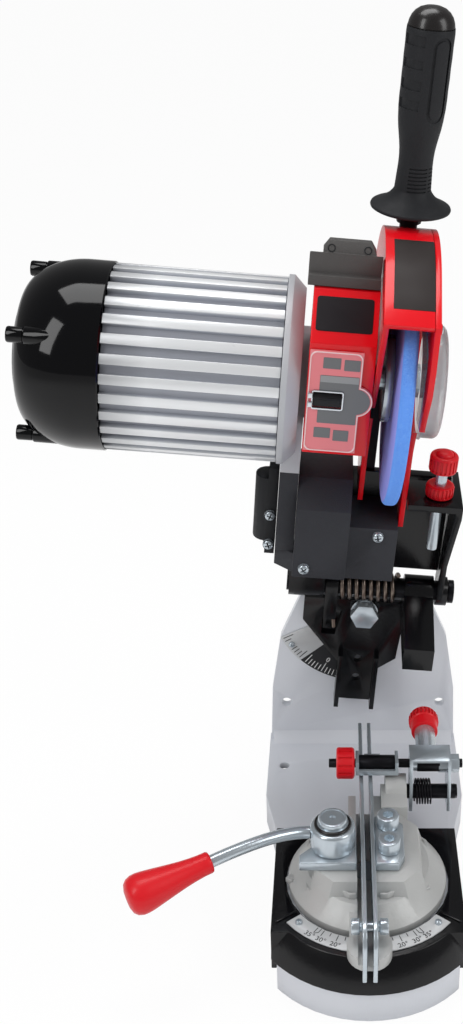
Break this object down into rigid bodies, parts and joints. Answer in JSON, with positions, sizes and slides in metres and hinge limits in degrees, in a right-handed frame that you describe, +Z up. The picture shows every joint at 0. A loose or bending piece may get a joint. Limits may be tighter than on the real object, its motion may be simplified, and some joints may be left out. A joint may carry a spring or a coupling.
{
  "type": "electric chainsaw sharpener",
  "caption": "Bench grinder for saw chain: a finned motor and a thin abrasive wheel on a sprung arm over a turning vise with rails, clamp lever and chain stop.",
  "frame": {"origin": "on the bench, under the axis of the turntable", "axes": "+X to the user's right along the wheel's axis, +Y from the user to the back wall, +Z up"},
  "size_m": [0.2636, 0.2725, 0.5116],
  "materials": {
    "grey_paint": "satin grey paint on a casting",
    "bell_grey": "grey painted die casting",
    "black_paint": "gloss black paint",
    "scale_silver": "printed silver plate",
    "zinc_steel": "bright zinc plate",
    "black_steel": "blackened steel",
    "spring_steel": "bronze-toned spring steel",
    "charcoal_moulding": "textured charcoal moulding",
    "soft_black": "moulded black",
    "lamp_grey": "dark grey moulding",
    "finned_aluminium": "extruded and satin",
    "winding": "laminations with copper winding",
    "gloss_black": "gloss black",
    "red_moulding": "gloss red",
    "red_knob": "satin red",
    "smoke_clear": "clear",
    "pink_clear": "clear over red",
    "bulb_glass": "clear glass",
    "abrasive_blue": "bonded abrasive grain",
    "cast_turntable": "raw casting"
  },
  "bodies": {
    "frame": {"base_casting": "grey_paint", "scale_cover": "black_paint", "angle_scale_plate": "scale_silver", "tilt_scale_plate": "scale_silver", "vise_pivot_bolt": "zinc_steel"},
    "tilt": {"tilt_bracket": "black_paint", "tilt_bolt": "zinc_steel", "tilt_lock_nut": "zinc_steel", "stop_finger": "black_paint", "pivot_shaft": "black_steel", "head_spring": "spring_steel"},
    "head": {"head_arm": "black_paint", "depth_bracket": "black_paint", "arm_cover": "charcoal_moulding", "cable_clamp": "soft_black", "end_bell": "bell_grey", "motor_tube": "finned_aluminium", "stator": "winding", "front_bearing": "zinc_steel", "rear_bearing": "zinc_steel", "dome_cap": "gloss_black", "switch_cover": "red_moulding", "switch_bezel": "pink_clear", "lamp_housing": "lamp_grey", "lamp_bulb": "bulb_glass", "inner_guard": "red_moulding", "outer_guard": "red_moulding", "guard_cap": "smoke_clear", "handle_stud": "black_steel", "handle_grip": "soft_black"},
    "rotor": {"rotor_shaft": "zinc_steel", "rotor_core": "zinc_steel", "inner_flange": "zinc_steel", "grinding_wheel": "abrasive_blue", "outer_flange": "zinc_steel", "spindle_nut": "zinc_steel"},
    "depth_rod": {"depth_rod": "zinc_steel"},
    "depth_knob": {"depth_knob": "red_knob"},
    "depth_lock_knob": {"depth_lock_knob": "red_knob"},
    "switch_toggle": {"switch_toggle": "soft_black"},
    "vise": {"turntable": "cast_turntable", "clamp_plate": "zinc_steel", "backing_plate": "zinc_steel", "rear_rail_screw": "zinc_steel", "front_rail_screw": "zinc_steel", "fixed_rail": "zinc_steel", "guide_pin": "zinc_steel", "stop_pin": "black_steel", "stop_spring": "black_steel"},
    "moving_rail": {"moving_rail": "zinc_steel"},
    "clamp_lever": {"clamp_hub": "zinc_steel", "clamp_rod": "zinc_steel", "clamp_grip": "red_knob"},
    "stop_bracket": {"stop_bracket": "zinc_steel"},
    "stop_screw": {"stop_screw": "black_steel", "stop_knob": "red_knob"},
    "stop_carriage": {"stop_carriage": "zinc_steel"},
    "feed_knob": {"feed_knob": "red_knob"}
  },
  "joints": [
    {"name": "head_tilt", "type": "hinge", "parent": "frame", "child": "tilt", "pos_m": [0, 0.15, 0.134], "axis": [0, 1, 0], "range_deg": [-5, 30]},
    {"name": "head_swing", "type": "hinge", "parent": "tilt", "child": "head", "pos_m": [0.00167, 0.1475, 0.15393], "axis": [0.9965, 0, -0.0837], "range_deg": [0, 80], "stiffness_Nm_per_rad": 5, "springref_deg": -42.97},
    {"name": "wheel_spin", "type": "hinge", "parent": "head", "child": "rotor", "pos_m": [0.015, 0.10947, 0.31266], "axis": [0.9965, 0, -0.0837], "continuous": true},
    {"name": "depth_knob_turn", "type": "hinge", "parent": "depth_rod", "child": "depth_knob", "pos_m": [0.04555, 0.114, 0.25811], "axis": [0.0834, -0.0872, 0.9927], "range_deg": [-900, 900]},
    {"name": "depth_slide", "type": "slide", "parent": "head", "child": "depth_rod", "axis": [0.0834, -0.0872, 0.9927], "range_m": [-0.0025, 0.0025]},
    {"name": "depth_lock_turn", "type": "hinge", "parent": "head", "child": "depth_lock_knob", "pos_m": [0.04396, 0.11566, 0.23925], "axis": [0.0834, -0.0872, 0.9927], "range_deg": [-180, 180]},
    {"name": "switch_rock", "type": "hinge", "parent": "head", "child": "switch_toggle", "pos_m": [-0.02307, 0.06901, 0.31936], "axis": [0.9965, 0, -0.0837], "range_deg": [-9, 0]},
    {"name": "vise_turn", "type": "hinge", "parent": "frame", "child": "vise", "pos_m": [0, 0, 0.043], "axis": [0, 0, 1], "range_deg": [0, 125]},
    {"name": "clamp_turn", "type": "hinge", "parent": "vise", "child": "clamp_lever", "pos_m": [-0.0204, -0.003, 0.0683], "axis": [0, 0, 1], "range_deg": [-40, 0]},
    {"name": "rail_slide", "type": "slide", "parent": "vise", "child": "moving_rail", "axis": [1, 0, 0], "range_m": [0, 0.0021]},
    {"name": "stop_flip", "type": "hinge", "parent": "vise", "child": "stop_bracket", "pos_m": [0.04, 0.056, 0.059], "axis": [1, 0, 0], "range_deg": [0, 25], "stiffness_Nm_per_rad": 0.35, "springref_deg": -28.65},
    {"name": "stop_screw_turn", "type": "hinge", "parent": "stop_bracket", "child": "stop_screw", "pos_m": [0.02, 0.062, 0.076], "axis": [1, 0, 0], "range_deg": [-30, 1530]},
    {"name": "stop_carriage_slide", "type": "slide", "parent": "stop_bracket", "child": "stop_carriage", "axis": [1, 0, 0], "range_m": [0, 0.005]},
    {"name": "feed_knob_turn", "type": "hinge", "parent": "stop_bracket", "child": "feed_knob", "pos_m": [0.0385, 0.1, 0.076], "axis": [0, 1, 0], "range_deg": [-720, 720]}
  ],
  "couplings": [
    {"joint": "depth_knob_turn", "follows": "depth_slide", "rad_per_m": 5026.5},
    {"joint": "rail_slide", "follows": "clamp_turn", "m_per_rad": -0.0029},
    {"joint": "stop_screw_turn", "follows": "stop_carriage_slide", "rad_per_m": 5026.5}
  ]
}
